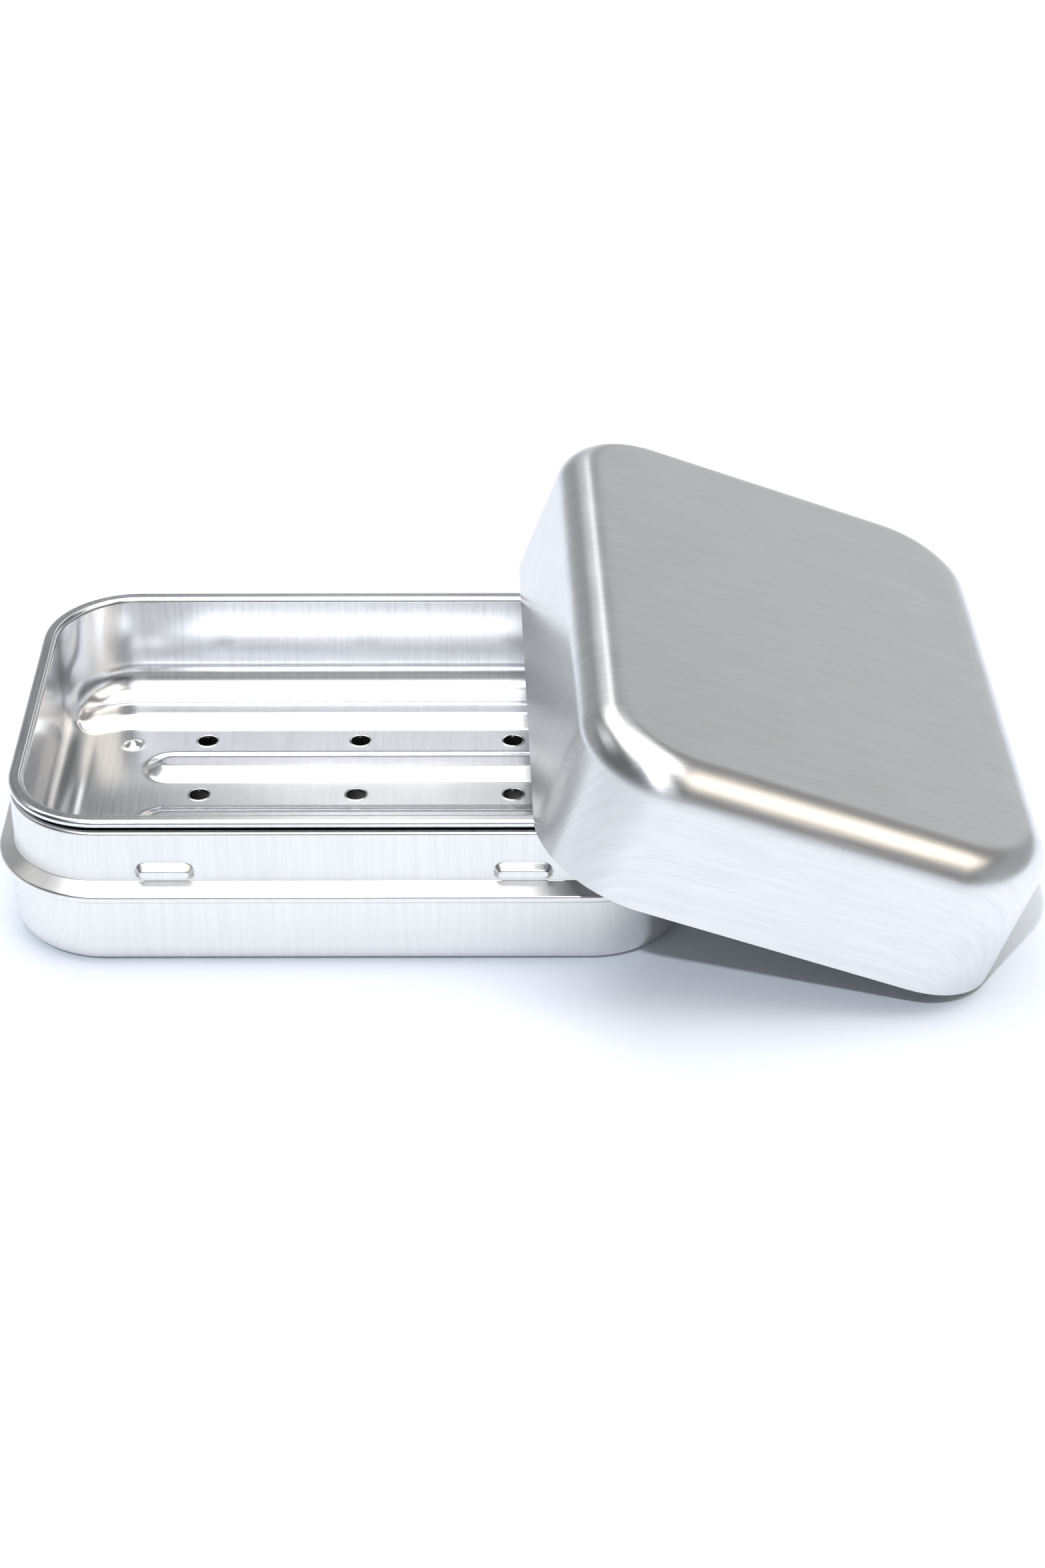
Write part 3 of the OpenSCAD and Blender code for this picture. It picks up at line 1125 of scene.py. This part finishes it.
    def aim(self, light: bpy.types.Light, azimuth: float, elevation: float, distance: float) -> None:
        """Adds a lamp's object in a direction and at a distance from the model, and turns it to face it."""
        obj = add_object(light.name, light)
        around_z, up = math.radians(azimuth), math.radians(elevation)
        way = Vector((math.sin(around_z) * math.cos(up), math.cos(around_z) * math.cos(up), math.sin(up)))
        obj.location = way * distance * MM
        obj.rotation_euler = way.to_track_quat("Z", "Y").to_euler()
        obj.visible_camera = False

    def add_key(self) -> None:
        """Adds the small key lamp, from the front and a little to the left, that throws the crisp shadow.

        A sun of energy pi, straight above, makes a white floor white.
        """
        light = bpy.data.lights.new("key", "SUN")
        light.energy = self.key_share * math.pi / math.sin(math.radians(self.key_elevation))
        light.angle = math.radians(self.key_angle)
        light.color = srgb(self.key_colour)[:3]
        self.aim(light, self.key_azimuth, self.key_elevation, self.key_distance)

    def add_soft_lamp(self, name: str, lamp: SoftLamp) -> None:
        """Adds a softbox with its size, light and place."""
        light = bpy.data.lights.new(name, "AREA")
        light.shape = "RECTANGLE"
        light.size = lamp.width * MM
        light.size_y = lamp.height * MM
        light.energy = lamp.strength * math.pi * light.size * light.size_y
        light.color = srgb(lamp.colour)[:3]
        self.aim(light, lamp.azimuth, lamp.elevation, lamp.distance)

    def add_light(self) -> None:
        """Adds the white world, the key lamp and the softboxes."""
        world = bpy.data.worlds.new("studio_world")
        bpy.context.scene.world = world
        world.use_nodes = True
        tree = world.node_tree
        tree.nodes.clear()
        white = add_node(tree, "ShaderNodeBackground", {"Color": (1, 1, 1, 1), "Strength": 1.0})
        add_node(tree, "ShaderNodeOutputWorld", {"Surface": white.outputs[0]})
        self.add_key()
        for name, lamp in self.soft_lamps:
            self.add_soft_lamp(name, lamp)

    def build(self) -> None:
        """Sets up the whole studio."""
        self.add_camera()
        self.add_floor()
        self.add_wall()
        self.add_light()
        bpy.context.scene.view_settings.view_transform = "Standard"


def main() -> None:
    """Builds the studio and the three pieces."""
    logging.basicConfig(level=logging.INFO, format="%(name)s: %(message)s")
    log.info("the frame has the CAD nodes %s", ", ".join(sorted(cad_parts)))
    Studio().build()
    for part in (BaseTin(), DrainTray(), Lid()):
        piece = part.build()
        log.info("%s has %d faces", piece.name, len(piece.data.polygons))


if __name__ == "__main__":
    main()
